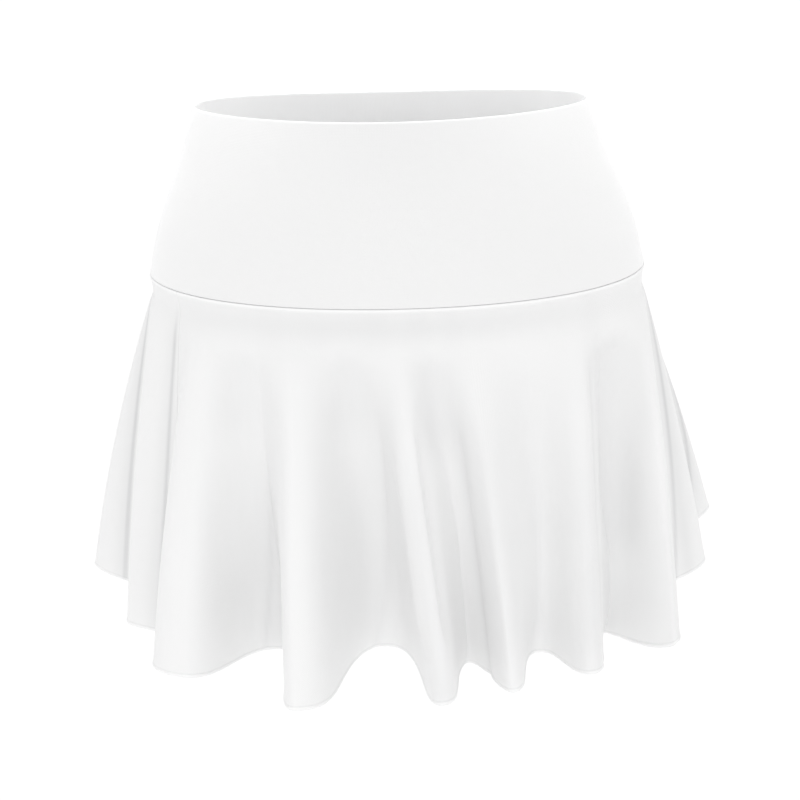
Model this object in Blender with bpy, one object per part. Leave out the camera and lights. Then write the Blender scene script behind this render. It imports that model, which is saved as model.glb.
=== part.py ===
"""Tennis skort in its worn form with nobody in it.

A smooth fitted yoke runs from the waist to the hip seam, a circle-cut flounce hangs from that seam in deep
uneven folds, and plain shorts hang inside the flounce. Every piece of cloth is a thin closed wall.

Metres, +Z up. The front faces -Y. The origin is the middle of the waist opening, where the body holds it.
"""

import math

import bpy
import numpy as np

# Cloth walls and the gap that parts two sewn pieces.
YOKE_WALL = 0.0020
FLOUNCE_WALL = 0.0011
SHORTS_WALL = 0.0010
SEAM_GAP = 0.0003

# Yoke: drop of the hip seam at the sides, and how far the seam and the waist edge dip from there.
SEAM_DROP = 0.1045
SEAM_DIP_FRONT = 0.0040
WAIST_DIP_FRONT = 0.0035
WAIST_DIP_BACK = 0.0015
YOKE_ROWS = 9
YOKE_COLUMNS_FRONT = 28
YOKE_COLUMNS_BACK = 24
YOKE_SIDE_SEAM = 6.0  # degrees that the side seams lie behind the widest points

# Cross-sections of the yoke. Share of the way down from waist to seam, where its middle lies, half width,
# depth in front of the middle, depth behind it, and the squareness of the front and back curves (2 is an
# ellipse).
YOKE_SECTIONS = (
    # share, middle, half_width, front, back, front_square, back_square
    (0.00, 0.0000, 0.1250, 0.0800, 0.0690, 2.00, 2.90),
    (0.25, 0.0006, 0.1340, 0.0880, 0.0780, 2.05, 2.60),
    (0.50, 0.0011, 0.1452, 0.0940, 0.0880, 2.10, 2.40),
    (0.75, 0.0015, 0.1556, 0.0980, 0.0960, 2.15, 2.25),
    (1.00, 0.0017, 0.1624, 0.1000, 0.1000, 2.20, 2.20),
)

# Flounce: level its cloth reaches to where it hangs straight, the share of its length that does so in
# front and behind and at the sides, and the share over which a fold then swings out.
FLOUNCE_LEVEL = -0.3385
FLOUNCE_HOLD = 0.090
FLOUNCE_HOLD_SIDE = 0.015
FLOUNCE_EASE = 0.065
FLOUNCE_ROWS = (0.0, 0.05, 0.09, 0.13, 0.17, 0.23, 0.31, 0.42, 0.57, 0.77, 1.0)
STEPS_PER_FLANK = 6
FLANK_INTEGRATION = 80
LEFT_SEAM_FOLD = "left_front_edge"
RIGHT_SEAM_FOLD = "right_back"

# Folds round the hem, from the left side past the front, the right side and the back. Each row is a ridge
# and the valley that follows it: the place on the hip seam where the ridge starts in degrees (180 is the
# left side, 270 the front middle), the ridge's place at the hem, how far it runs round on either side of
# its tip, how much longer than the rest its bias-cut cloth hangs, how early it swings out, then the share
# of the way to the next ridge at which the valley starts, its place at the hem and how far its floor runs
# on either side.
FOLDS = (
    # name, seam, ridge_x, ridge_y, before, after, longer, early, share, valley_x, valley_y, before, after
    ("left_side", 178.0, -0.228, 0.010, 0.016, 0.014, 0.004, 0.45, 0.70, -0.184, -0.022, 0.010, 0.006),
    ("left_front_edge", 196.0, -0.187, -0.070, 0.012, 0.004, 0.003, 0.50, 0.68, -0.149, -0.090, 0.015, 0.003),
    ("left_front", 224.5, -0.138, -0.147, 0.040, 0.027, 0.003, 0.50, 0.56, -0.074, -0.104, 0.040, 0.004),
    ("front_left", 247.5, -0.064, -0.187, 0.014, 0.035, 0.008, 0.50, 0.58, -0.011, -0.101, 0.039, 0.029),
    ("front_middle", 269.5, 0.021, -0.182, 0.013, 0.019, 0.007, 0.50, 0.52, 0.041, -0.124, 0.012, 0.012),
    ("front_right", 285.0, 0.066, -0.168, 0.009, 0.013, 0.004, 0.45, 0.50, 0.086, -0.114, 0.014, 0.019),
    ("right_front", 311.0, 0.118, -0.154, 0.018, 0.012, 0.002, 0.45, 0.24, 0.131, -0.092, 0.004, 0.010),
    ("right_front_edge", 346.0, 0.173, -0.131, 0.014, 0.012, 0.009, 0.45, 0.30, 0.182, -0.040, 0.006, 0.010),
    ("right_side", 361.0, 0.224, 0.000, 0.016, 0.012, 0.005, 0.34, 0.35, 0.203, 0.030, 0.006, 0.008),
    ("right_back", 376.0, 0.241, 0.064, 0.014, 0.016, 0.002, 0.28, 0.50, 0.180, 0.080, 0.010, 0.010),
    ("back_right_edge", 394.0, 0.190, 0.120, 0.018, 0.020, 0.002, 0.45, 0.50, 0.138, 0.101, 0.010, 0.012),
    ("back_right", 413.0, 0.116, 0.163, 0.022, 0.019, 0.004, 0.50, 0.60, 0.080, 0.109, 0.016, 0.008),
    ("back_right_middle", 433.0, 0.050, 0.180, 0.017, 0.015, 0.006, 0.50, 0.50, 0.018, 0.110, 0.012, 0.011),
    ("back_middle", 452.0, -0.018, 0.164, 0.015, 0.016, 0.003, 0.45, 0.40, -0.048, 0.112, 0.009, 0.018),
    ("back_left", 472.0, -0.092, 0.174, 0.024, 0.018, 0.006, 0.50, 0.55, -0.120, 0.098, 0.012, 0.012),
    ("back_left_edge", 495.0, -0.156, 0.132, 0.017, 0.018, 0.002, 0.45, 0.50, -0.162, 0.078, 0.010, 0.012),
    ("left_back", 517.0, -0.208, 0.080, 0.018, 0.016, 0.002, 0.45, 0.50, -0.190, 0.036, 0.010, 0.010),
)

# Shorts: rings from the hip seam to the leg hem. Level at the side, share of the seam's dip that it keeps,
# middle of the ring beside the centre plane, half width, half depth and squareness. At and below the
# crotch the ring is a whole leg.
SHORTS_COLUMNS = 30
SHORTS_RINGS = (
    # level, dip, middle, half_width, half_depth, square
    (-0.10465, 1.0, 0.0000, 0.1610, 0.0986, 2.20),
    (-0.1300, 0.6, 0.0040, 0.1550, 0.0955, 2.15),
    (-0.1600, 0.2, 0.0150, 0.1425, 0.0920, 2.10),
    (-0.1900, 0.0, 0.0300, 0.1265, 0.0890, 2.05),
    (-0.2200, 0.0, 0.0480, 0.1065, 0.0860, 2.00),
    (-0.2440, 0.0, 0.0690, 0.0840, 0.0825, 2.00),
    (-0.2680, 0.0, 0.0770, 0.0750, 0.0795, 2.00),
    (-0.2920, 0.0, 0.0790, 0.0735, 0.0780, 2.00),
)

# Colours of the cloth, white with the inner faces a little cooler.
CLOTH_WHITE = (0.86, 0.86, 0.86, 1.0)
SHORTS_WHITE = (0.82, 0.82, 0.83, 1.0)
CLOTH_ROUGHNESS = 0.85


def clear_scene():
    """Remove every object of the starting file."""
    for thing in list(bpy.data.objects):
        bpy.data.objects.remove(thing, do_unlink=True)


def cloth_material(name, colour):
    """A matt woven-cloth surface of one colour."""
    material = bpy.data.materials.new(name)
    material.use_nodes = True
    shader = material.node_tree.nodes["Principled BSDF"]
    shader.inputs["Base Color"].default_value = colour
    shader.inputs["Roughness"].default_value = CLOTH_ROUGHNESS
    shader.inputs["Metallic"].default_value = 0.0
    return material


def smooth_curve(x, xs, ys):
    """Cubic curve through the points of a table; its slope at a point is that of the points beside it."""
    xs = np.asarray(xs, float)
    ys = np.asarray(ys, float)
    slope = np.gradient(ys, xs)
    i = np.clip(np.searchsorted(xs, x, side="right") - 1, 0, len(xs) - 2)
    width = xs[i + 1] - xs[i]
    t = (x - xs[i]) / width
    start = (1 + 2 * t) * (1 - t) ** 2 * ys[i] + t * (1 - t) ** 2 * width * slope[i]
    end = t * t * (3 - 2 * t) * ys[i + 1] + t * t * (t - 1) * width * slope[i + 1]
    return start + end


def smooth_step(t):
    """0 to 1 with level ends."""
    t = np.clip(t, 0.0, 1.0)
    return t * t * (3 - 2 * t)


def body_ring(share, angle):
    """x and y of the yoke's outer face, share of the way down and at an angle in degrees from +X."""
    columns = list(zip(*YOKE_SECTIONS))
    middle, half, front, back, front_square, back_square = (
        smooth_curve(share, columns[0], column) for column in columns[1:]
    )
    turn = np.radians(angle)
    cos, sin = np.cos(turn), np.sin(turn)
    depth = np.where(sin < 0, front, back)
    square = np.where(sin < 0, front_square, back_square)
    size = (np.abs(cos) ** square + np.abs(sin) ** square) ** (1 / square)
    return middle + half * cos / size, depth * sin / size


def yoke_surface(share, angle):
    """Points of the yoke's outer face: the ring at that share, between the waist edge and the hip seam."""
    x, y = body_ring(share, angle)
    sin = np.sin(np.radians(angle))
    top = -np.where(sin < 0, WAIST_DIP_FRONT, WAIST_DIP_BACK) * sin**2
    bottom = -SEAM_DROP - SEAM_DIP_FRONT * np.where(sin < 0, sin**2, 0.0)
    return np.stack([x, y, top + (bottom - top) * share], axis=-1)


def unit(vectors):
    """The vectors at length 1."""
    return vectors / np.linalg.norm(vectors, axis=-1, keepdims=True)


def outward(points):
    """Unit normals of a closed ring of cloth, rows running down and columns from the left past the front."""
    along = np.roll(points, -1, axis=1) - np.roll(points, 1, axis=1)
    down = np.gradient(points, axis=0)
    return unit(np.cross(down, along))


def wall(name, outer, inner, material):
    """A closed thin wall between two grids of points, its rims joined edge to edge."""
    rows, columns = outer.shape[:2]
    index = np.arange(2 * rows * columns).reshape(2, rows, columns)
    skin, lining = index

    def patch(grid):
        return np.stack([grid[:-1, :-1], grid[1:, :-1], grid[1:, 1:], grid[:-1, 1:]], axis=-1).reshape(-1, 4)

    def rim(edge, other):
        return np.stack([edge[:-1], edge[1:], other[1:], other[:-1]], axis=-1)

    faces = [
        patch(skin),
        patch(lining)[:, ::-1],
        rim(skin[0], lining[0]),
        rim(lining[-1], skin[-1]),
        rim(lining[:, 0], skin[:, 0]),
        rim(skin[:, -1], lining[:, -1]),
    ]
    mesh = bpy.data.meshes.new(name)
    points = np.concatenate([outer.reshape(-1, 3), inner.reshape(-1, 3)])
    mesh.from_pydata(points.tolist(), [], np.concatenate(faces).tolist())
    mesh.validate()
    mesh.materials.append(material)
    mesh.shade_smooth()
    mesh.set_sharp_from_angle(angle=math.radians(50))
    body = bpy.data.objects.new(name, mesh)
    bpy.context.collection.objects.link(body)
    return body


def part_ends(points, gap):
    """Draw the first and last columns of a grid in along the cloth, so that the next piece is clear of it."""
    points = points.copy()
    points[:, 0] += unit(points[:, 1] - points[:, 0]) * gap / 2
    points[:, -1] += unit(points[:, -2] - points[:, -1]) * gap / 2
    return points


def cut_panels(outer, inner, spans, materials):
    """Cut a closed ring of cloth into its panels, one for each span of columns."""
    count = outer.shape[1]
    for name, (start, end) in spans.items():
        columns = np.arange(start, end + 1) % count
        skin = part_ends(outer[:, columns], SEAM_GAP)
        wall(name, skin, part_ends(inner[:, columns], SEAM_GAP), materials[name])


def make_yokes(materials):
    """Front and back yoke panels, from the waist edge down to the hip seam, cut at two side seams."""
    share = np.linspace(0.0, 1.0, YOKE_ROWS)[:, None]
    front = np.linspace(180.0 - YOKE_SIDE_SEAM, 360.0 + YOKE_SIDE_SEAM, YOKE_COLUMNS_FRONT + 1)[:-1]
    back = np.linspace(360.0 + YOKE_SIDE_SEAM, 540.0 - YOKE_SIDE_SEAM, YOKE_COLUMNS_BACK + 1)[:-1]
    outer = yoke_surface(share, np.concatenate([front, back])[None, :])
    level = outward(outer) * np.array([1.0, 1.0, 0.0])
    inner = outer - unit(level) * YOKE_WALL
    for grid in (outer, inner):
        grid[-1, :, 2] += SEAM_GAP / 2
    whole = YOKE_COLUMNS_FRONT + YOKE_COLUMNS_BACK
    spans = {"yoke_front": (0, YOKE_COLUMNS_FRONT), "yoke_back": (YOKE_COLUMNS_FRONT, whole)}
    cut_panels(outer, inner, spans, materials)


def bezier(start, leave, arrive, end, t):
    """Cubic curve between two points with a handle at each."""
    near = (1 - t) ** 3 * start + 3 * t * (1 - t) ** 2 * leave
    return near + 3 * t * t * (1 - t) * arrive + t**3 * end


def fold_stations():
    """Ridges and valleys in turn, once round and one more, with the way the hem runs through each.

    Each holds its hem place, how far it runs on before and after, seam angle, extra length and earliness.
    At a ridge the hem runs from the valley before towards the valley after, and at a valley along the body.
    """
    stations = []
    for fold, following in zip(FOLDS, FOLDS[1:] + FOLDS[:1]):
        _, seam, ridge_x, ridge_y, before, after, longer, early, share = fold[:9]
        stations.append((ridge_x, ridge_y, before, after, seam, longer, early))
        seam += (following[1] - seam) % 360.0 * share
        stations.append((*fold[9:], seam, 0.0, (early + following[7]) / 2))
    stations = np.array(stations)
    place, seam = stations[:, :2], stations[:, 4]
    ahead = np.stack(body_ring(1.0, seam + 1.0), axis=1) - np.stack(body_ring(1.0, seam - 1.0), axis=1)
    ahead[::2] = place[1::2] - np.roll(place[1::2], 1, axis=0)
    last = stations[:1].copy()
    last[:, 4] += 360.0
    return np.concatenate([stations, last]), unit(np.concatenate([ahead, ahead[:1]]))


def hem_columns():
    """Hem place, seam angle, extra length and earliness of every column of the flounce, once round.

    The hem is a chain of cubic curves from ridge to valley to ridge.
    """
    stations, ahead = fold_stations()
    t = np.arange(STEPS_PER_FLANK)[None, :, None] / STEPS_PER_FLANK
    here, there = stations[:-1, None], stations[1:, None]
    leave = here[..., :2] + ahead[:-1, None] * here[..., 3:4]
    arrive = there[..., :2] - ahead[1:, None] * there[..., 2:3]
    hem = bezier(here[..., :2], leave, arrive, there[..., :2], t)
    angle = here[..., 4] + (there - here)[..., 4] * t[..., 0]
    eased = here[..., 5:] + (there - here)[..., 5:] * smooth_step(t)
    longer, early = eased.reshape(-1, 2).T
    return hem.reshape(-1, 2), angle.ravel(), longer, early


def flounce_surface(rows):
    """Points of the flounce's outer face, rows down its length and columns once round.

    Each column hangs straight from the hip seam, then swings out towards its place at the hem and keeps its
    full length of cloth: it drops by what its swing leaves.
    """
    hem, angle, longer, early = hem_columns()
    seam = yoke_surface(np.array(1.0), angle)
    swing = hem - seam[:, :2]
    reach = np.linalg.norm(swing, axis=1)
    share = np.linspace(0.0, 1.0, FLANK_INTEGRATION + 1)
    middle = ((share[1:] + share[:-1]) / 2)[:, None]
    hold = FLOUNCE_HOLD_SIDE + (FLOUNCE_HOLD - FLOUNCE_HOLD_SIDE) * np.sin(np.radians(angle)) ** 2
    rate = smooth_step((middle - hold) / FLOUNCE_EASE) * (1 - early * middle)
    rate = rate / rate.mean(axis=0)
    length = seam[:, 2] - FLOUNCE_LEVEL + longer
    fall = np.sqrt(length**2 - (rate * reach) ** 2)
    out, drop = (
        np.stack([np.interp(rows, share, np.append(0.0, np.cumsum(column))) for column in steps.T], axis=1)
        for steps in (rate / FLANK_INTEGRATION, fall / FLANK_INTEGRATION)
    )
    place = seam[:, :2] + swing * out[..., None]
    return np.concatenate([place, (seam[:, 2] - drop)[..., None]], axis=-1)


def fold_column(name):
    """Column of the valley that follows the named fold."""
    return ([fold[0] for fold in FOLDS].index(name) * 2 + 1) * STEPS_PER_FLANK


def make_flounces(materials):
    """Front and back flounce panels, cut from one surface at the two side seams."""
    outer = flounce_surface(np.array(FLOUNCE_ROWS))
    inner = outer - outward(outer) * FLOUNCE_WALL
    for grid in (outer, inner):
        grid[0, :, 2] -= SEAM_GAP / 2
    inner[0, :, 2] = outer[0, :, 2]
    count = outer.shape[1]
    left, right = fold_column(LEFT_SEAM_FOLD), fold_column(RIGHT_SEAM_FOLD)
    spans = {"flounce_front": (left, right), "flounce_back": (right, left + count)}
    cut_panels(outer, inner, spans, materials)


def shorts_ring(inset, level, dip, middle, half, depth, square):
    """One ring of the right half, from the centre front round the outer hip to the centre back."""
    edge = (middle - SEAM_GAP / 2) / half
    most = math.pi / 2 - SEAM_GAP / 2 / half
    start = math.asin(edge) if edge < math.sin(most) else most
    turn = np.linspace(-start, math.pi + start, SHORTS_COLUMNS)
    cos, sin = np.cos(turn), np.sin(turn)
    size = (np.abs(cos) ** square + np.abs(sin) ** square) ** (1 / square)
    x = middle + (half - inset) * sin / size
    y = (inset - depth) * cos / size
    z = level - SEAM_DIP_FRONT * dip * np.where(cos > 0, cos**2, 0.0)
    return np.stack([x, y, z], axis=1)


def make_shorts(name, side, material):
    """One half of the shorts: hip to crotch beside the centre plane, then a whole leg."""
    outer, inner = (
        np.stack([shorts_ring(inset, *ring) for ring in SHORTS_RINGS]) for inset in (0.0, SHORTS_WALL)
    )
    for grid in (outer, inner):
        grid[..., 0] = np.maximum(grid[..., 0], SEAM_GAP / 2)
    if side < 0:
        outer, inner = (grid[:, ::-1] * np.array([-1.0, 1.0, 1.0]) for grid in (outer, inner))
    shift = np.array([YOKE_SECTIONS[-1][1], 0.0, 0.0])
    return wall(name, outer + shift, inner + shift, material)


def main():
    """Build every piece of the skort."""
    clear_scene()
    names = ("yoke_front", "yoke_back", "flounce_front", "flounce_back")
    materials = {name: cloth_material(f"cloth_{name}", CLOTH_WHITE) for name in names}
    make_yokes(materials)
    make_flounces(materials)
    for name, side in (("shorts_right", 1.0), ("shorts_left", -1.0)):
        make_shorts(name, side, cloth_material(f"cloth_{name}", SHORTS_WHITE))


main()
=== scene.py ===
"""Looks of a white tennis skort in its worn form, with nobody in it.

Every panel of cloth is a thin shell with rounded edges over the form of its solid: a fitted yoke, a
circle-cut flounce in deep uneven folds with a narrow rolled hem, and plain shorts inside. Metres, +Z up,
front towards -Y.
"""

import math

import bpy
import numpy as np
from mathutils import Matrix, Vector


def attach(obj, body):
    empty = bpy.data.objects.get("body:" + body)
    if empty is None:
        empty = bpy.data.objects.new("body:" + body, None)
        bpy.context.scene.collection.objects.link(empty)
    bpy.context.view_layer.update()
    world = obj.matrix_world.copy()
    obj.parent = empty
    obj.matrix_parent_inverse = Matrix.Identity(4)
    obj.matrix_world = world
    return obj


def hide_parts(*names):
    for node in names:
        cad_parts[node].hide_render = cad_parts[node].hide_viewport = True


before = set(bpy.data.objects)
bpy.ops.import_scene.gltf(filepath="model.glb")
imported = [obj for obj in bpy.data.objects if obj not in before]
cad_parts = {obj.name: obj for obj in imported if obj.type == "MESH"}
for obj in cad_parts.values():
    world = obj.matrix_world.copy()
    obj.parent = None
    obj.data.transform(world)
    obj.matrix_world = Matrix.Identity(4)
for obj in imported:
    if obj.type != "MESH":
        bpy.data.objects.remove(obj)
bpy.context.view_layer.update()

# Sizes of the solids.
YOKE_WALL = 0.0020
FLOUNCE_WALL = 0.0011
SHORTS_WALL = 0.0010
SEAM_GAP = 0.0003
SEAM_DROP = 0.1045
SEAM_DIP_FRONT = 0.0040
WAIST_DIP_FRONT = 0.0035
WAIST_DIP_BACK = 0.0015
YOKE_SIDE_SEAM = 6.0
YOKE_SECTIONS = (
    # share, middle, half_width, front, back, front_square, back_square
    (0.00, 0.0000, 0.1250, 0.0800, 0.0690, 2.00, 2.90),
    (0.25, 0.0006, 0.1340, 0.0880, 0.0780, 2.05, 2.60),
    (0.50, 0.0011, 0.1452, 0.0940, 0.0880, 2.10, 2.40),
    (0.75, 0.0015, 0.1556, 0.0980, 0.0960, 2.15, 2.25),
    (1.00, 0.0017, 0.1624, 0.1000, 0.1000, 2.20, 2.20),
)
# The flounce hangs straight for a share of its length, less at the sides, then eases out into its folds.
FLOUNCE_LENGTH = 0.2320
FLOUNCE_LEVEL = -0.3385
FLOUNCE_HOLD = 0.090
FLOUNCE_HOLD_SIDE = 0.015
FLOUNCE_EASE = 0.065
FLANK_INTEGRATION = 80
FOLDS = (
    # name, seam, ridge_x, ridge_y, before, after, longer, early, share, valley_x, valley_y, before, after
    ("left_side", 178.0, -0.228, 0.010, 0.016, 0.014, 0.004, 0.45, 0.70, -0.184, -0.022, 0.010, 0.006),
    ("left_front_edge", 196.0, -0.187, -0.070, 0.012, 0.004, 0.003, 0.50, 0.68, -0.149, -0.090, 0.015, 0.003),
    ("left_front", 224.5, -0.138, -0.147, 0.040, 0.027, 0.003, 0.50, 0.56, -0.074, -0.104, 0.040, 0.004),
    ("front_left", 247.5, -0.064, -0.187, 0.014, 0.035, 0.008, 0.50, 0.58, -0.011, -0.101, 0.039, 0.029),
    ("front_middle", 269.5, 0.021, -0.182, 0.013, 0.019, 0.007, 0.50, 0.52, 0.041, -0.124, 0.012, 0.012),
    ("front_right", 285.0, 0.066, -0.168, 0.009, 0.013, 0.004, 0.45, 0.50, 0.086, -0.114, 0.014, 0.019),
    ("right_front", 311.0, 0.118, -0.154, 0.018, 0.012, 0.002, 0.45, 0.24, 0.131, -0.092, 0.004, 0.010),
    ("right_front_edge", 346.0, 0.173, -0.131, 0.014, 0.012, 0.009, 0.45, 0.30, 0.182, -0.040, 0.006, 0.010),
    ("right_side", 361.0, 0.224, 0.000, 0.016, 0.012, 0.005, 0.34, 0.35, 0.203, 0.030, 0.006, 0.008),
    ("right_back", 376.0, 0.241, 0.064, 0.014, 0.016, 0.002, 0.28, 0.50, 0.180, 0.080, 0.010, 0.010),
    ("back_right_edge", 394.0, 0.190, 0.120, 0.018, 0.020, 0.002, 0.45, 0.50, 0.138, 0.101, 0.010, 0.012),
    ("back_right", 413.0, 0.116, 0.163, 0.022, 0.019, 0.004, 0.50, 0.60, 0.080, 0.109, 0.016, 0.008),
    ("back_right_middle", 433.0, 0.050, 0.180, 0.017, 0.015, 0.006, 0.50, 0.50, 0.018, 0.110, 0.012, 0.011),
    ("back_middle", 452.0, -0.018, 0.164, 0.015, 0.016, 0.003, 0.45, 0.40, -0.048, 0.112, 0.009, 0.018),
    ("back_left", 472.0, -0.092, 0.174, 0.024, 0.018, 0.006, 0.50, 0.55, -0.120, 0.098, 0.012, 0.012),
    ("back_left_edge", 495.0, -0.156, 0.132, 0.017, 0.018, 0.002, 0.45, 0.50, -0.162, 0.078, 0.010, 0.012),
    ("left_back", 517.0, -0.208, 0.080, 0.018, 0.016, 0.002, 0.45, 0.50, -0.190, 0.036, 0.010, 0.010),
)
# Side seams of the flounce, counted in folds: the valleys after the second and the tenth ridge.
LEFT_SEAM = 1.5
RIGHT_SEAM = 9.5
SHORTS_RINGS = (
    # level, dip, middle, half_width, half_depth, square
    (-0.10465, 1.0, 0.0000, 0.1610, 0.0986, 2.20),
    (-0.1300, 0.6, 0.0040, 0.1550, 0.0955, 2.15),
    (-0.1600, 0.2, 0.0150, 0.1425, 0.0920, 2.10),
    (-0.1900, 0.0, 0.0300, 0.1265, 0.0890, 2.05),
    (-0.2200, 0.0, 0.0480, 0.1065, 0.0860, 2.00),
    (-0.2440, 0.0, 0.0690, 0.0840, 0.0825, 2.00),
    (-0.2680, 0.0, 0.0770, 0.0750, 0.0795, 2.00),
    (-0.2920, 0.0, 0.0790, 0.0735, 0.0780, 2.00),
)

# Edges: height and half thickness of the rolled hem, and the radius in which each other edge turns over.
HEM_HEIGHT = 0.0024
HEM_HALF = 0.00105
FLOUNCE_TOP_TURN = 0.0003
FLOUNCE_SIDE_TURN = 0.0007
WAIST_TURN = 0.0010
YOKE_HEM_TURN = 0.0005
YOKE_SIDE_TURN = 0.0008
LEG_HEM_TURN = 0.0007
SHORTS_SEAM_TURN = 0.0006
THINNEST_EDGE = 0.15
LEG_HEM_HEIGHT = 0.020
LEG_HEM_EXTRA = 0.0003
LEG_HEM_STEP = 0.001

# Bands along the edges: strength, distance from the edge and width. Rises and sinks are metres off the cloth:
# the flounce stands out over its turned allowance at the hip seam and sinks below it, and the shorts with it.
ALLOWANCE_RISE = (0.0006, 0.0016, 0.0011)
ALLOWANCE_SINK = (0.0011, 0.0120, 0.0080)
SHORTS_SINK = (0.0015, 0.0120, 0.0090)
YOKE_HEM_RISE = (0.0002, 0.0030, 0.0016)

# Painted shade and painted light: shades are shares of the shade colour painted in where the cloth sees
# little light, and lights are shares of the lit colour painted in where it catches light.
UNDER_SEAM_SHADE = (0.17, 0.0115, 0.0100)
HEM_STITCH_SHADE = (0.15, HEM_HEIGHT, 0.0003)
SEAM_LIGHT = (0.5, 0.0010, 0.0005)
HEM_LIGHT = (0.3, 0.0012, 0.0007)
HEM_END_SHADE = 0.5
HEM_END = 0.0002
YOKE_HEM_SHADE = (0.5, 0.0, 0.00025)
YOKE_SIDE_SHADE = (0.2, 0.0, 0.0004)
WAIST_SHADE = (0.05, 0.008, 0.020)
WAIST_FOLD = 0.0012
YOKE_SIDES_PAINTED_LIGHT = 0.3
SHORTS_SEAM_SHADE = (0.5, 0.0, 0.0004)
LEG_HEM_SHADE = (0.5, LEG_HEM_HEIGHT + 0.0005, 0.0005)

# Grids: rows from each edge, close together where it turns over, then a step between rows and columns.
FLOUNCE_TOP_ROWS = (0.0, 0.0002, 0.0004, 0.0007, 0.0011, 0.0016, 0.0023, 0.0032, 0.0045, 0.0065, 0.0090)
FLOUNCE_HEM_ROWS = (
    0.0, 0.0001, 0.0003, 0.0006, 0.0010, 0.0014, 0.0018, 0.0021, 0.0023, 0.0026, 0.0032, 0.0045,
)
FLOUNCE_ROW_STEP = 0.0035
FLOUNCE_SIDE_COLUMNS = (0.0, 0.003, 0.008, 0.016, 0.028, 0.045)
COLUMNS_A_FOLD = 64
YOKE_EDGE_ROWS = (0.0, 0.0001, 0.0003, 0.0006, 0.0010, 0.0016, 0.0026, 0.0042)
YOKE_ROW_STEP = 0.0028
YOKE_SIDE_COLUMNS = (0.0, 0.1, 0.25, 0.5, 0.9)
YOKE_COLUMN_MARGIN = 1.4
YOKE_COLUMN_STEP = 0.8
SHORTS_TOP_ROWS = (0.0, 0.0005, 0.0015)
SHORTS_HEM_ROWS = (0.0, 0.0001, 0.0003, 0.0006, 0.0012)
SHORTS_ROW_STEP = 0.0030
SHORTS_COLUMNS = 150
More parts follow.
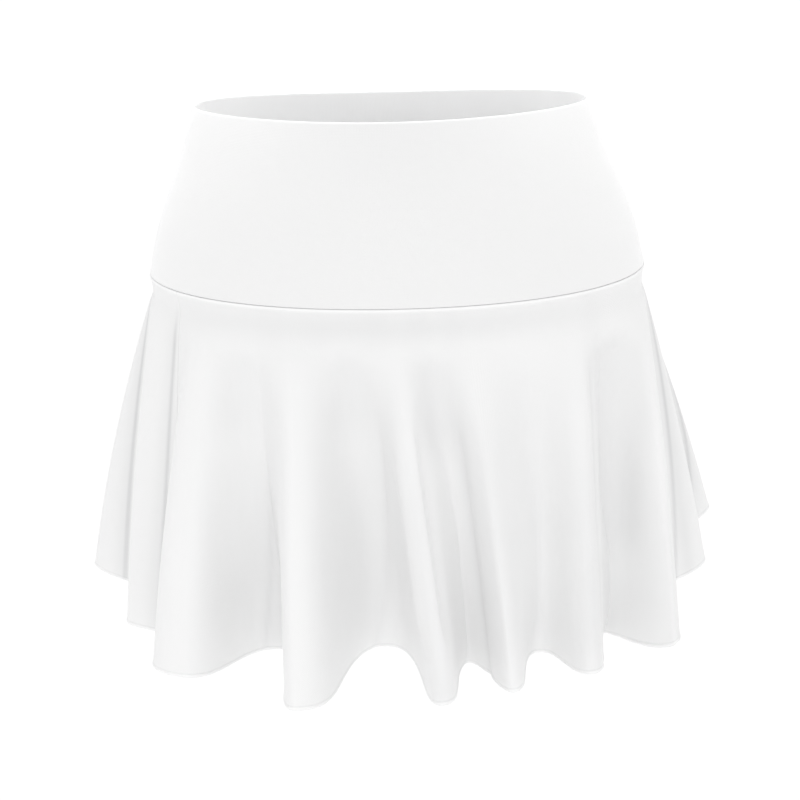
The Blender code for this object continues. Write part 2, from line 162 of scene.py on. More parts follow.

# Creases of the flounce. Place counts folds round the hem, a whole number on a ridge and a half
# in its valley, and lean is how many folds a crease moves over the whole length. Start and stop are shares of
# the length, and fade is the share over which it comes in. At its width from the line it has died away to a
# third. Depth is negative for a trough and positive for a ridge, and shade is how dark the line is, where
# cloth sees little light. Reach and ruler are in folds: how far past a panel's sides, and how finely, the
# distance to a crease is measured.
CREASE_FADE_OUT = 0.14
CREASE_REACH = 0.6
CREASE_RULER = 0.02
# The shade of every crease is painted shade along its line, where the cloth sees little light; a crease of
# depth 0 is painted shade only, such as the contact shade beside a fold's edge.
CREASES = (
    # name, place, lean, start, fade, stop, width, depth, shade
    ("left_side_tuck", 0.27, 0.00, 0.03, 0.12, 1.30, 0.008, 0.0, 0.12),
    ("left_side_contact", 0.285, 0.00, 0.03, 0.12, 1.30, 0.0016, 0.0, 0.40),
    ("left_edge_tuck", 1.455, -0.15, 0.03, 0.12, 1.30, 0.008, 0.0, 0.12),
    ("left_edge_contact", 1.475, -0.15, 0.03, 0.12, 1.30, 0.0016, 0.0, 0.40),
    ("left_front_arch", 2.36, 0.00, 0.11, 0.07, 0.42, 0.014, -0.0030, 0.06),
    ("left_front_filling", 2.37, 0.00, 0.18, 0.24, 0.80, 0.018, 0.0040, 0.00),
    ("left_front_crease", 2.60, -0.18, 0.38, 0.20, 1.30, 0.0022, -0.0008, 0.10),
    ("left_front_flank", 2.645, -0.18, 0.42, 0.28, 1.30, 0.0080, 0.0, 0.06),
    ("front_left_arch", 3.43, 0.00, 0.10, 0.07, 0.40, 0.014, -0.0030, 0.09),
    ("front_left_filling", 3.40, 0.00, 0.32, 0.30, 1.04, 0.022, 0.0050, 0.00),
    ("front_left_crease", 3.735, -0.265, 0.27, 0.14, 1.30, 0.0036, -0.0012, 0.04),
    ("front_middle_bend", 3.84, 0.04, 0.25, 0.20, 0.90, 0.008, 0.0030, 0.00),
    ("front_middle_hollow", 4.16, 0.00, 0.20, 0.16, 0.90, 0.008, -0.0035, 0.02),
    ("front_middle_arch", 4.42, 0.00, 0.10, 0.07, 0.45, 0.012, -0.0030, 0.11),
    ("front_middle_flat", 4.02, 0.00, 0.32, 0.20, 1.20, 0.007, -0.0008, 0.09),
    ("front_middle_filling", 4.46, 0.00, 0.32, 0.30, 1.05, 0.012, 0.0040, 0.00),
    ("front_middle_crease", 4.625, 0.09, 0.26, 0.16, 1.30, 0.0046, -0.0016, 0.12),
    ("front_right_flat", 5.00, 0.00, 0.20, 0.24, 0.98, 0.018, -0.0014, 0.07),
    ("front_right_painted_shade", 5.50, 0.00, 0.10, 0.14, 0.72, 0.045, 0.0, 0.055),
    ("front_right_filling", 5.42, 0.05, 0.30, 0.30, 0.98, 0.018, 0.0050, 0.00),
    ("right_front_flat", 5.97, 0.00, 0.30, 0.30, 1.00, 0.013, -0.0028, 0.08),
    ("right_front_end", 6.00, 0.00, 0.60, 0.20, 1.30, 0.0100, 0.0, 0.07),
    ("right_front_edge", 6.15, 0.00, 0.16, 0.08, 1.30, 0.0030, -0.0010, 0.09),
    ("right_front_panel", 6.34, 0.00, 0.13, 0.05, 1.30, 0.011, 0.0, 0.07),
    ("right_front_hollow", 6.60, 0.03, 0.12, 0.06, 0.80, 0.014, -0.0045, 0.09),
    ("right_front_filling", 6.45, 0.00, 0.50, 0.25, 1.05, 0.014, 0.0060, 0.00),
    ("right_front_flank", 6.80, 0.02, 0.15, 0.06, 0.50, 0.009, -0.0015, 0.06),
    ("right_edge_flat", 6.98, 0.00, 0.50, 0.30, 1.10, 0.012, -0.0010, 0.06),
    ("right_edge_contact", 7.87, -0.17, 0.03, 0.12, 1.30, 0.0020, 0.0, 0.35),
    ("right_side_contact", 9.12, -0.37, 0.03, 0.12, 1.30, 0.0020, 0.0, 0.35),
    ("right_edge_tuck", 7.80, 0.00, 0.03, 0.12, 1.30, 0.008, 0.0, 0.16),
    ("right_side_tuck", 9.08, -0.34, 0.03, 0.12, 1.30, 0.008, 0.0, 0.16),
    ("back_right_arch", 10.45, 0.00, 0.11, 0.10, 0.70, 0.013, -0.0035, 0.05),
    ("back_right_crease", 11.36, 0.12, 0.26, 0.14, 1.30, 0.0040, -0.0014, 0.06),
    ("back_right_filling", 11.56, -0.04, 0.32, 0.28, 1.00, 0.012, 0.0045, 0.00),
    ("back_middle_arch", 12.48, 0.00, 0.13, 0.10, 0.60, 0.010, -0.0030, 0.05),
    ("back_middle_crease", 12.66, -0.16, 0.24, 0.14, 1.30, 0.0036, -0.0014, 0.06),
    ("back_middle_hollow", 13.58, 0.04, 0.18, 0.14, 0.85, 0.010, -0.0030, 0.03),
    ("back_left_filling", 14.48, 0.04, 0.40, 0.28, 1.02, 0.013, 0.0050, 0.00),
    ("back_left_crease", 14.34, 0.12, 0.30, 0.14, 1.30, 0.0040, -0.0014, 0.06),
    ("back_left_arch", 15.45, 0.00, 0.12, 0.10, 0.65, 0.011, -0.0030, 0.05),
    ("left_back_hollow", 16.52, 0.00, 0.16, 0.12, 0.85, 0.009, -0.0030, 0.04),
)

# The knit. Stitches: height and slant as shares of the width, and depth of the groove between columns as a
# share of the stitch's. Soft and fine mottling: how many waves a metre. Reliefs are heights in metres.
STITCH_HEIGHT = 0.8
STITCH_SLANT = 1.2
GROOVE_SHARE = 0.6
SOFT_SCALE = 26.0
FINE_SCALE = 900.0
STITCH_RELIEF = 0.00006
STITCH_STRENGTH = 0.35
PUCKER_RELIEF = 0.0008
ROUGHNESS_RANGE = 0.10
SHEEN_ROUGHNESS = 0.45
# Painted shade and painted light: how far a full shade takes the colour towards the shade colour, the colour
# painted for shade and the colour painted for light.
PAINTED_SHADE_SHARE = 0.75
PAINTED_SHADE_COLOUR = (0.30, 0.305, 0.315, 1.0)
LIT_COLOUR = (0.97, 0.97, 0.97, 1.0)

# Studio, in metres, watts and degrees: azimuth 0 is in front of the skort and 90 is on its right.
FLOOR_SPAN = 60.0
FLOOR_LEVEL = -1.02
FLOOR_ALBEDO = 0.97
FLOOR_ROUGHNESS = 0.9
SURROUNDINGS = 0.90
SOFT_LIGHTS = (
    # name, azimuth, elevation, strength, spread
    ("left", -80.0, 10.0, 0.11, 50.0),
    ("right", 75.0, 15.0, 0.07, 50.0),
    ("top", 0.0, 85.0, 0.50, 60.0),
)
PANEL_LIGHTS = (
    # name, place, target, size, strength
    ("low_front", (0.0, -2.2, -0.55), (0.0, 0.0, -0.25), (1.8, 0.8), 6.0),
    ("waist", (0.0, -0.045, 0.10), (0.0, 0.065, -0.01), (0.22, 0.06), 0.20),
)

# Camera: lens and sensor in millimetres, looking down and rolled by degrees.
CAMERA_PLACE = (0.0017, -0.75, 0.085)
CAMERA_DOWN = 21.06
CAMERA_ROLL = -1.3
CAMERA_LENS = 51.934
CAMERA_SENSOR = 36.0
CAMERA_REACH = 200.0


def smooth_curve(x, xs, ys):
    """Cubic curve through the points of a table; its slope at a point is that of the points beside it."""
    xs, ys = np.asarray(xs, float), np.asarray(ys, float)
    slope = np.gradient(ys, xs)
    i = np.clip(np.searchsorted(xs, x, side="right") - 1, 0, len(xs) - 2)
    width = xs[i + 1] - xs[i]
    t = (x - xs[i]) / width
    start = (1 + 2 * t) * (1 - t) ** 2 * ys[i] + t * (1 - t) ** 2 * width * slope[i]
    end = t * t * (3 - 2 * t) * ys[i + 1] + t * t * (t - 1) * width * slope[i + 1]
    return start + end


def smooth_step(t):
    """0 to 1 with level ends: t^2 (3 - 2t)."""
    t = np.clip(t, 0.0, 1.0)
    return t * t * (3 - 2 * t)


def unit(vectors):
    """The vectors at length 1."""
    return vectors / np.linalg.norm(vectors, axis=-1, keepdims=True)


def body_ring(share, angle):
    """x and y of the yoke's outer face: a super-ellipse, (|x|/a)^n + (|y|/b)^n = 1, for each share down."""
    columns = list(zip(*YOKE_SECTIONS))
    middle, half, front, back, front_square, back_square = (
        smooth_curve(share, columns[0], column) for column in columns[1:]
    )
    turn = np.radians(angle)
    cos, sin = np.cos(turn), np.sin(turn)
    depth = np.where(sin < 0, front, back)
    square = np.where(sin < 0, front_square, back_square)
    size = (np.abs(cos) ** square + np.abs(sin) ** square) ** (1 / square)
    return middle + half * cos / size, depth * sin / size


def yoke_surface(share, angle):
    """Points of the yoke's outer face: the ring at that share, between the waist edge and the hip seam."""
    x, y = body_ring(share, angle)
    sin = np.sin(np.radians(angle))
    top = -np.where(sin < 0, WAIST_DIP_FRONT, WAIST_DIP_BACK) * sin**2
    bottom = -SEAM_DROP - SEAM_DIP_FRONT * np.where(sin < 0, sin**2, 0.0)
    return np.stack([x, y, top + (bottom - top) * share], axis=-1)


def fold_stations():
    """Ridges and valleys in turn, once round and one more, with the way the hem runs through each.

    Each holds its hem place, how far it runs on before and after, seam angle, extra length and earliness.
    """
    stations = []
    for fold, following in zip(FOLDS, FOLDS[1:] + FOLDS[:1]):
        _, seam, ridge_x, ridge_y, before, after, longer, early, share = fold[:9]
        stations.append((ridge_x, ridge_y, before, after, seam, longer, early))
        seam += (following[1] - seam) % 360.0 * share
        stations.append((*fold[9:], seam, 0.0, (early + following[7]) / 2))
    stations = np.array(stations)
    place, seam = stations[:, :2], stations[:, 4]
    ahead = np.stack(body_ring(1.0, seam + 1.0), axis=1) - np.stack(body_ring(1.0, seam - 1.0), axis=1)
    ahead[::2] = place[1::2] - np.roll(place[1::2], 1, axis=0)
    last = stations[:1].copy()
    last[:, 4] += 360.0
    return np.concatenate([stations, last]), unit(np.concatenate([ahead, ahead[:1]]))


def hem_at(place):
    """Hem place, seam angle, extra length and earliness at places counted in folds round the hem.

    Between a ridge and a valley the hem is the cubic (1-t)^3 a + 3t(1-t)^2 b + 3t^2(1-t) c + t^3 d.
    """
    stations, ahead = fold_stations()
    turns, within = np.divmod(place, len(FOLDS))
    i = np.floor(within * 2).astype(int)
    t = (within * 2 - i)[:, None]
    here, there = stations[i], stations[i + 1]
    leave = here[:, :2] + ahead[i] * here[:, 3:4]
    arrive = there[:, :2] - ahead[i + 1] * there[:, 2:3]
    hem = (1 - t) ** 3 * here[:, :2] + 3 * t * (1 - t) ** 2 * leave
    hem += 3 * t * t * (1 - t) * arrive + t**3 * there[:, :2]
    angle = here[:, 4] + (there - here)[:, 4] * t[:, 0] + 360.0 * turns
    longer, early = (here[:, 5:] + (there - here)[:, 5:] * smooth_step(t)).T
    return hem, angle, longer, early


def flounce_surface(rows, place):
    """Points of the flounce's outer face, rows down its length and columns round it.

    A column swings out at the rate s(v/e)(1 - early v) of its reach and falls by sqrt(length^2 - swing^2).
    """
    hem, angle, longer, early = hem_at(place)
    seam = yoke_surface(np.array(1.0), angle)
    swing = hem - seam[:, :2]
    reach = np.linalg.norm(swing, axis=1)
    share = np.linspace(0.0, 1.0, FLANK_INTEGRATION + 1)
    middle = ((share[1:] + share[:-1]) / 2)[:, None]
    hold = FLOUNCE_HOLD_SIDE + (FLOUNCE_HOLD - FLOUNCE_HOLD_SIDE) * np.sin(np.radians(angle)) ** 2
    rate = smooth_step((middle - hold) / FLOUNCE_EASE) * (1 - early * middle)
    rate = rate / rate.mean(axis=0)
    length = seam[:, 2] - FLOUNCE_LEVEL + longer
    fall = np.sqrt(length**2 - (rate * reach) ** 2)
    out, drop = (
        np.stack([np.interp(rows, share, np.append(0.0, np.cumsum(column))) for column in steps.T], axis=1)
        for steps in (rate / FLANK_INTEGRATION, fall / FLANK_INTEGRATION)
    )
    place = seam[:, :2] + swing * out[..., None]
    return np.concatenate([place, (seam[:, 2] - drop)[..., None]], axis=-1)


def shorts_surface(level, columns):
    """Rings of the right half: a super-ellipse cut at the centre plane, and a whole leg below the crotch."""
    table = np.array(SHORTS_RINGS)[::-1]
    dip, middle, half, depth, square = (
        smooth_curve(level, table[:, 0], column)[:, None] for column in table[:, 1:].T
    )
    most = math.pi / 2 - SEAM_GAP / 2 / half
    start = np.minimum(np.arcsin(np.clip((middle - SEAM_GAP / 2) / half, -1, 1)), most)
    turn = -start + (math.pi + 2 * start) * columns
    cos, sin = np.cos(turn), np.sin(turn)
    size = (np.abs(cos) ** square + np.abs(sin) ** square) ** (1 / square)
    x = np.maximum(middle + half * sin / size, SEAM_GAP / 2)
    z = level[:, None] - SEAM_DIP_FRONT * dip * np.where(cos > 0, cos**2, 0.0)
    return np.stack([x, -depth * cos / size, z], axis=-1)


def outward(points):
    """Unit normals of a grid whose rows run down and whose columns run from the left past the front."""
    return unit(np.cross(np.gradient(points, axis=0), np.gradient(points, axis=1)))


def lengths(points, axis):
    """Distance along a grid's rows or columns from the first point of each."""
    steps = np.linalg.norm(np.diff(points, axis=axis), axis=-1)
    return np.concatenate([np.zeros_like(np.take(steps, [0], axis)), np.cumsum(steps, axis=axis)], axis=axis)


def rounded(distance, radius):
    """Share of the half thickness left at a distance from an edge that turns over in a half circle."""
    arc = np.sqrt(np.clip(1 - (1 - distance / radius) ** 2, 0, 1))
    return np.where(distance < radius, np.maximum(arc, THINNEST_EDGE), 1.0)


def band(distance, strength, centre, width):
    """A band along an edge: strength e^-((distance - centre)/width)^2."""
    return strength * np.exp(-(((distance - centre) / width) ** 2))


def graded(length, near, far, step):
    """Distances from the top edge of a length: close together at both edges, a step apart between them."""
    near, far = np.array(near), length - np.array(far)[::-1]
    middle = np.linspace(near[-1], far[0], int(round((far[0] - near[-1]) / step)) + 1)
    return np.concatenate([near, middle[1:-1], far])


def shell(name, replaced, middle, half, pattern, painted_shade_and_light, material):
    """A closed shell of cloth: the middle surface moved out and in along its normal by half the thickness.

    The grid runs down the outside and back up the inside, so its hem and top close by themselves, and a
    ladder of faces closes each side. Pattern is the place on the flat cloth, kept as a UV map in metres.
    The shade painted at each point is kept as an attribute; below 0 it is painted light, where the point
    catches more light.
    """
    painted_shade_and_light = np.clip(painted_shade_and_light, -1, 1)
    normal = outward(middle)
    outer, inner = middle + normal * half[..., None], middle - normal * half[..., None]
    points = np.concatenate([outer, inner[::-1]])
    rows, columns = points.shape[:2]
    index = np.arange(rows * columns).reshape(rows, columns)
    loop = np.concatenate([index, index[:1]])
    skin, lining = index[: rows // 2], index[rows // 2 :][::-1]
    faces = [np.stack([loop[:-1, :-1], loop[1:, :-1], loop[1:, 1:], loop[:-1, 1:]], axis=-1).reshape(-1, 4)]
    for here, other in ((lining[:, 0], skin[:, 0]), (skin[:, -1], lining[:, -1])):
        faces.append(np.stack([here[:-1], here[1:], other[1:], other[:-1]], axis=-1))
    faces = np.concatenate(faces)
    mesh = bpy.data.meshes.new(name)
    mesh.from_pydata(points.reshape(-1, 3).tolist(), [], faces.tolist())
    mesh.shade_smooth()
    flat = np.concatenate([pattern, pattern[::-1]]).reshape(-1, 2)
    corners = np.empty(len(mesh.loops), np.int32)
    mesh.loops.foreach_get("vertex_index", corners)
    mesh.uv_layers.new(name="cut").data.foreach_set("uv", flat[corners].astype(np.float32).ravel())
    dark = mesh.attributes.new("painted_shade_and_light", "FLOAT", "POINT")
    dark.data.foreach_set("value", np.concatenate([painted_shade_and_light, painted_shade_and_light[::-1]]).astype(np.float32).ravel())
    mesh.materials.append(material)
    piece = bpy.data.objects.new(name, mesh)
    bpy.context.scene.collection.objects.link(piece)
    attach(piece, "root")
    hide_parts(replaced)
    return piece


def crease_height(rows, place):
    """How far the creases stand off the cloth: the sum of depth e^-(across/width)^2 of each.

    Across is the distance round the cloth from a crease's line, read from the length of each row.
    """
    ruler = np.arange(place[0] - CREASE_REACH, place[-1] + CREASE_REACH, CREASE_RULER)
    measured = lengths(flounce_surface(rows, ruler), 1)

    def distance(at):
        count = np.clip((at - ruler[0]) / CREASE_RULER, 0, len(ruler) - 1.001)
        whole = np.floor(count).astype(int)
        here, there = (np.take_along_axis(measured, i, axis=1) for i in (whole, whole + 1))
        return here + (there - here) * (count - whole)

    share = rows[:, None]
    total, dark = np.zeros((2, len(rows), len(place)))
    middle = (place[0] + place[-1]) / 2
    own = distance(np.broadcast_to(place, total.shape))
    for _, first, lean, start, fade, stop, width, depth, shade in CREASES:
        first += len(FOLDS) * round((middle - first) / len(FOLDS))
        across = own - distance(first + lean * share)
        form = np.exp(-((across / width) ** 2))
        form *= smooth_step((share - start) / fade) * smooth_step((stop - share) / CREASE_FADE_OUT)
        total += depth * form
        # Painted shade along the crease, where the cloth sees little light.
        dark += shade * form
    return total, dark


def dress_flounce(name, start, stop, replaced, material):
    """A panel of the flounce between two side seams, with its creases, rolled hem and turned top edge."""
    down = graded(FLOUNCE_LENGTH, FLOUNCE_TOP_ROWS, FLOUNCE_HEM_ROWS, FLOUNCE_ROW_STEP)
    rows = down / FLOUNCE_LENGTH
    *end, margin = FLOUNCE_SIDE_COLUMNS
    end = np.array(end)
    inner = np.linspace(start + margin, stop - margin, int((stop - start) * COLUMNS_A_FOLD))
    place = np.concatenate([start + end, inner, stop - end[::-1]])
    surface = flounce_surface(rows, place)
    step = 0.002
    along = (flounce_surface(rows, place + step) - flounce_surface(rows, place - step)) / (2 * step)
    speed = np.linalg.norm(along, axis=-1)
    normal = unit(np.cross(np.gradient(surface, axis=0), along))
    top, bottom = down[:, None], (FLOUNCE_LENGTH - down)[:, None]
    side = np.minimum(place - start, stop - place) * speed
    creased, dark = crease_height(rows, place)
    rise = band(top, *ALLOWANCE_RISE) - band(top, *ALLOWANCE_SINK) + creased
    middle = surface + normal * (rise - FLOUNCE_WALL / 2)[..., None]
    round_bead = np.sqrt(np.clip(1 - (2 * bottom / HEM_HEIGHT - 1) ** 2, 0.02, 1))
    bead = HEM_HALF * round_bead * (bottom < HEM_HEIGHT)
    cloth = FLOUNCE_WALL / 2 * rounded(top, FLOUNCE_TOP_TURN) * (bottom > HEM_HEIGHT / 2)
    half = np.maximum(bead, cloth) * rounded(side, FLOUNCE_SIDE_TURN)
    # Painted shade under the hip seam at the front, along the creases, in the joint above the hem bead and
    # under the hem; painted highlights on the lip under the hip seam and on the hem bead.
    front = np.clip(-np.sin(np.radians(hem_at(place)[1])), 0, 1) ** 2
    painted_shade_and_light = band(top, *UNDER_SEAM_SHADE) * front + dark
    painted_shade_and_light += band(bottom, *HEM_STITCH_SHADE) + HEM_END_SHADE * (bottom < HEM_END)
    painted_shade_and_light -= band(top, *SEAM_LIGHT) + band(bottom, *HEM_LIGHT)
    round_hem = lengths(surface[-1:], 1)[0]
    spread = (round_hem[-1] - lengths(surface[:1], 1)[0, -1]) / FLOUNCE_LENGTH
    turn = (round_hem / round_hem[-1] - 0.5) * spread
    radius = round_hem[-1] / spread - FLOUNCE_LENGTH + top
    pattern = np.stack([radius * np.sin(turn), -radius * np.cos(turn)], axis=-1)
    return shell(name, replaced, middle, half, pattern, painted_shade_and_light, material)


def dress_yoke(name, start, stop, replaced, material):
    """A panel of the yoke between two side seams, its waist edge folded over and its hip edge turned in."""
    down = graded(SEAM_DROP, YOKE_EDGE_ROWS, YOKE_EDGE_ROWS, YOKE_ROW_STEP)
    rows = (down / SEAM_DROP)[:, None]
    end, margin = np.array(YOKE_SIDE_COLUMNS), YOKE_COLUMN_MARGIN
    inner = np.arange(start + margin, stop - margin + 0.01, YOKE_COLUMN_STEP)
    angle = np.concatenate([start + end, inner, stop - end[::-1]])
    surface = yoke_surface(rows, angle)
    step = 0.05
    along = yoke_surface(rows, angle + step) - yoke_surface(rows, angle - step)
    speed = np.linalg.norm(along, axis=-1) / (2 * step)
    level = np.array([1.0, 1.0, 0.0])
    normal = unit(np.cross(np.gradient(surface, axis=0), along) * level)
    top, bottom = down[:, None], (SEAM_DROP - down)[:, None]
    side = np.minimum(angle - start, stop - angle) * speed
    middle = surface + normal * (band(bottom, *YOKE_HEM_RISE) - YOKE_WALL / 2)[..., None]
    half = YOKE_WALL / 2 * rounded(top, WAIST_TURN) * rounded(bottom, YOKE_HEM_TURN)
    half = half * rounded(side, YOKE_SIDE_TURN)
    # Painted shade along the hip seam, at the side seams and below the waist edge at the front.
    front = np.clip(-np.sin(np.radians(angle)), 0, 1) ** 3
    painted_shade_and_light = band(bottom, *YOKE_HEM_SHADE) + band(side, *YOKE_SIDE_SHADE)
    painted_shade_and_light += front * band(top, *WAIST_SHADE) * (top > WAIST_FOLD)
    # Painted light: the yoke's left and right sides are lightened, where the side lights fall on them.
    painted_shade_and_light -= YOKE_SIDES_PAINTED_LIGHT * np.cos(np.radians(angle)) ** 4
    across = lengths(surface[len(down) // 2][None], 1)[0]
    pattern = np.stack(np.broadcast_arrays(across, -top), axis=-1)
    return shell(name, replaced, middle, half, pattern, painted_shade_and_light, material)


def dress_shorts(name, side, replaced, material):
    """One half of the shorts, with a turned leg hem."""
    height = SHORTS_RINGS[0][0] - SHORTS_RINGS[-1][0]
    down = graded(height, SHORTS_TOP_ROWS, SHORTS_HEM_ROWS, SHORTS_ROW_STEP)
    inner = np.linspace(0.006, 0.994, SHORTS_COLUMNS)
    columns = np.concatenate([[0.0, 0.0007, 0.002], inner, [0.998, 0.9993, 1.0]])
    surface = shorts_surface(SHORTS_RINGS[0][0] - down, columns)
    if side < 0:
        surface = surface[:, ::-1] * np.array([-1.0, 1.0, 1.0])
    surface = surface + np.array([YOKE_SECTIONS[-1][1], 0.0, 0.0])
    seamwise = lengths(surface, 1)
    edge = np.minimum(seamwise, seamwise[:, -1:] - seamwise)
    top, bottom = down[:, None], (height - down)[:, None]
    folded = LEG_HEM_EXTRA * smooth_step((LEG_HEM_HEIGHT - bottom) / LEG_HEM_STEP)
    half = (SHORTS_WALL / 2 + folded) * rounded(bottom, LEG_HEM_TURN) * rounded(edge, SHORTS_SEAM_TURN)
    inset = SHORTS_WALL / 2 + folded + band(top, *SHORTS_SINK)
    middle = surface - outward(surface) * inset[..., None]
    # Painted shade along the seams and at the edge of the turned leg hem.
    painted_shade_and_light = band(edge, *SHORTS_SEAM_SHADE) + band(bottom, *LEG_HEM_SHADE)
    pattern = np.stack(np.broadcast_arrays(seamwise[len(down) // 3], bottom), axis=-1)
    return shell(name, replaced, middle, half, pattern, painted_shade_and_light, material)


class Value:
    """A number worked out by a material's nodes; arithmetic on it adds Math nodes."""

    def __init__(self, shader, socket):
        self.shader, self.socket = shader, socket

    def maths(self, operation, *operands):
        return self.shader.add("ShaderNodeMath", {"operation": operation}, dict(enumerate(operands)))

    def __add__(self, other):
        return self.maths("ADD", self, other)

    def __sub__(self, other):
        return self.maths("SUBTRACT", self, other)

    def __mul__(self, other):
        return self.maths("MULTIPLY", self, other)

    def __truediv__(self, other):
        return self.maths("DIVIDE", self, other)

    def sine(self):
        return self.maths("SINE", self)

    def fraction(self):
        return self.maths("FRACT", self)

    def size(self):
        return self.maths("ABSOLUTE", self)


class Shader:
    """The node tree of a new material."""

    def __init__(self, name):
        self.material = bpy.data.materials.new(name)
        self.material.use_nodes = True
        self.nodes, self.links = self.material.node_tree.nodes, self.material.node_tree.links
        self.surface = self.nodes["Principled BSDF"]

    def add(self, kind, settings, inputs, output=0):
        """Add a node, set its settings, then the values or links of its inputs; returns one output."""
        node = self.nodes.new(kind)
        for key, value in settings.items():
            setattr(node, key, value)
        self.join(node, inputs)
        return Value(self, node.outputs[output])

    def join(self, node, inputs):
        """Set or link sockets of a node."""
        for key, value in inputs.items():
            if isinstance(value, Value):
                self.links.new(value.socket, node.inputs[key])
            else:
                node.inputs[key].default_value = value

    def mix(self, factor, first, second):
        """A colour between two colours."""
        settings = {"data_type": "RGBA", "blend_type": "MIX"}
        return self.add("ShaderNodeMix", settings, {0: factor, 6: first, 7: second}, 2)

    def noise(self, place, scale, detail):
        """Soft random mottling, 0 to 1."""
        return self.add("ShaderNodeTexNoise", {}, {"Vector": place, "Scale": scale, "Detail": detail}, 0)

    def bump(self, strength, distance, inputs):
        """A normal tilted by a height, which inputs give."""
        return self.add("ShaderNodeBump", {}, {"Strength": strength, "Distance": distance, **inputs})


def grey(value):
    """A neutral colour."""
    return (value, value, value, 1.0)


def knit(name, colour, shade, stitch, roughness, sheen):
    """Fine knitted cloth: columns of V stitches in the flat cloth's own place, soft mottling and sheen.

    The height of the knit is sin of the row, which each half of a stitch slants by its place across it.
    """
    cloth = Shader(name)
    place = cloth.add("ShaderNodeUVMap", {"uv_map": "cut"}, {})
    across = cloth.add("ShaderNodeSeparateXYZ", {}, {0: place}, 0)
    down = cloth.add("ShaderNodeSeparateXYZ", {}, {0: place}, 1)
    half = ((across / stitch).fraction() - 0.5).size()
    leg = ((down / (stitch * STITCH_HEIGHT) + half * STITCH_SLANT) * math.tau).sine()
    groove = (half * (2 * math.tau)).sine()
    body = cloth.add("ShaderNodeTexCoord", {}, {}, 3)
    soft = cloth.noise(body, SOFT_SCALE, 3.0)
    fine = cloth.noise(body, FINE_SCALE, 2.0)
    relief = leg + groove * GROOVE_SHARE + fine
    stitched = cloth.bump(STITCH_STRENGTH, STITCH_RELIEF, {"Height": relief})
    puckered = cloth.bump(1.0, PUCKER_RELIEF, {"Height": soft, "Normal": stitched})
    # Painted shade and painted light: the attribute darkens the colour towards the shade colour and, below 0,
    # lightens it towards the lit colour.
    painted_shade_and_light = cloth.add("ShaderNodeAttribute", {"attribute_name": "painted_shade_and_light"}, {}, 2)
    mottled = cloth.mix(soft * 0.5 + fine * 0.3, shade, colour)
    tone = cloth.mix(painted_shade_and_light * PAINTED_SHADE_SHARE, mottled, PAINTED_SHADE_COLOUR)
    cloth.join(
        cloth.surface,
        {
            "Base Color": cloth.mix(painted_shade_and_light * -1.0, tone, LIT_COLOUR),
            "Roughness": fine * ROUGHNESS_RANGE + (roughness - ROUGHNESS_RANGE / 2),
            "Normal": puckered,
            "Sheen Weight": sheen,
            "Sheen Roughness": SHEEN_ROUGHNESS,
        },
    )
    return cloth.material


def direction(azimuth, elevation):
    """The way to a light from the skort: azimuth 0 is in front and 90 on the right, in degrees."""
    turn, lift = math.radians(azimuth), math.radians(elevation)
    return Vector((math.sin(turn) * math.cos(lift), -math.cos(turn) * math.cos(lift), math.sin(lift)))


def soft_light(name, azimuth, elevation, strength, spread):
    """A wide studio light, far enough away to be even over the floor."""
    lamp = bpy.data.lights.new(name, "SUN")
    lamp.energy, lamp.angle = strength, math.radians(spread)
    holder = bpy.data.objects.new(name, lamp)
    holder.rotation_euler = direction(azimuth, elevation).to_track_quat("Z", "Y").to_euler()
    bpy.context.scene.collection.objects.link(holder)


def panel_light(name, place, target, size, strength):
    """A soft rectangular lamp at a place, turned to a target."""
    lamp = bpy.data.lights.new(name, "AREA")
    lamp.shape, lamp.energy = "RECTANGLE", strength
    lamp.size, lamp.size_y = size
    holder = bpy.data.objects.new(name, lamp)
    holder.location = place
    holder.rotation_euler = (Vector(target) - Vector(place)).to_track_quat("-Z", "Y").to_euler()
    holder.visible_camera = False
    bpy.context.scene.collection.objects.link(holder)


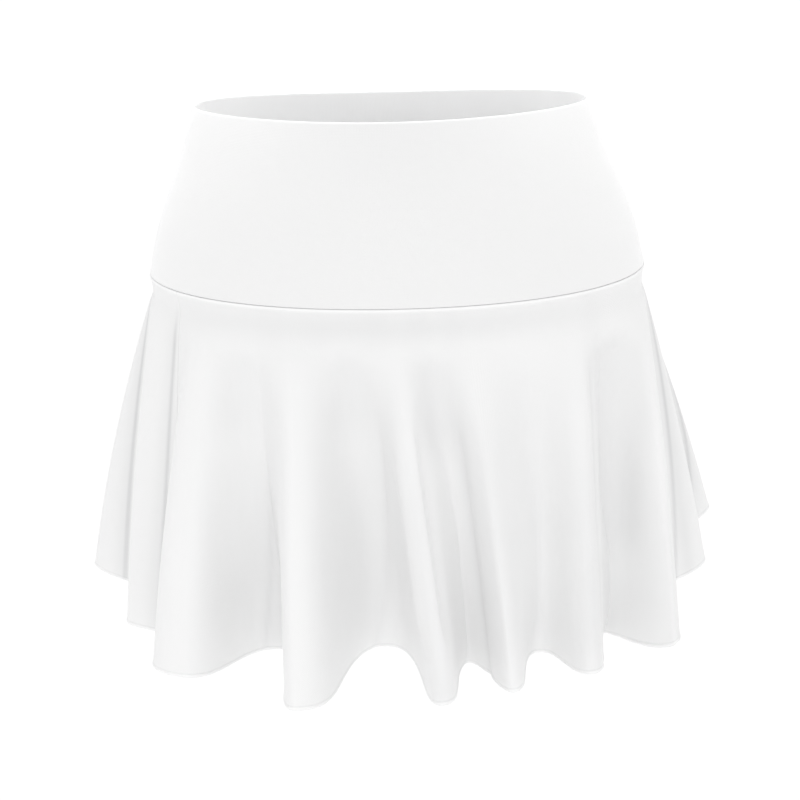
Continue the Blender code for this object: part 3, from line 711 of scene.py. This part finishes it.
def make_studio():
    """Plain pale floor well below the skort, even white surroundings and soft lights."""
    mesh = bpy.data.meshes.new("floor")
    corners = [(x, y, FLOOR_LEVEL) for x, y in ((-1, -1), (1, -1), (1, 1), (-1, 1))]
    corners = [(x * FLOOR_SPAN, y * FLOOR_SPAN, level) for x, y, level in corners]
    mesh.from_pydata(corners, [], [(0, 1, 2, 3)])
    paint = Shader("pale_floor")
    paint.join(paint.surface, {"Base Color": grey(FLOOR_ALBEDO), "Roughness": FLOOR_ROUGHNESS})
    mesh.materials.append(paint.material)
    floor = bpy.data.objects.new("floor", mesh)
    bpy.context.scene.collection.objects.link(floor)
    world = bpy.data.worlds.new("studio")
    bpy.context.scene.world = world
    world.use_nodes = True
    background = world.node_tree.nodes["Background"]
    background.inputs["Color"].default_value = grey(1.0)
    background.inputs["Strength"].default_value = SURROUNDINGS
    for light in SOFT_LIGHTS:
        soft_light(*light)
    for light in PANEL_LIGHTS:
        panel_light(*light)
    bpy.context.scene.view_settings.view_transform = "Standard"
    bpy.context.scene.view_settings.look = "None"


def make_camera():
    """The camera stands in front of the middle, a little above the waist, and looks down at the skort."""
    lens = bpy.data.cameras.new("camera")
    lens.lens, lens.sensor_width = CAMERA_LENS, CAMERA_SENSOR
    lens.clip_end = CAMERA_REACH
    camera = bpy.data.objects.new("camera", lens)
    pitch = Matrix.Rotation(math.radians(90 - CAMERA_DOWN), 4, "X")
    roll = Matrix.Rotation(math.radians(CAMERA_ROLL), 4, "Z")
    camera.matrix_world = Matrix.Translation(CAMERA_PLACE) @ pitch @ roll
    bpy.context.scene.collection.objects.link(camera)
    bpy.context.scene.camera = camera


def main():
    """Make the knits, every piece, the studio and the camera."""
    white = knit("white_knit", grey(0.83), grey(0.81), 0.0009, 0.60, 0.40)
    taut = knit("taut_white_knit", grey(0.80), grey(0.785), 0.0010, 0.60, 0.95)
    inside = knit("shorts_knit", (0.88, 0.88, 0.885, 1.0), (0.85, 0.855, 0.86, 1.0), 0.0007, 0.70, 0.15)
    left_side, right_side = 180.0 - YOKE_SIDE_SEAM, 360.0 + YOKE_SIDE_SEAM
    once_round = LEFT_SEAM + len(FOLDS)
    front = dress_yoke("yoke_front_cloth", left_side, right_side, "yoke_front", taut)
    back = dress_yoke("yoke_back_cloth", right_side, left_side + 360.0, "yoke_back", taut)
    flounce_front = dress_flounce("flounce_front_cloth", LEFT_SEAM, RIGHT_SEAM, "flounce_front", white)
    flounce_back = dress_flounce("flounce_back_cloth", RIGHT_SEAM, once_round, "flounce_back", white)
    right = dress_shorts("shorts_right_cloth", 1.0, "shorts_right", inside)
    left = dress_shorts("shorts_left_cloth", -1.0, "shorts_left", inside)
    make_studio()
    make_camera()


main()
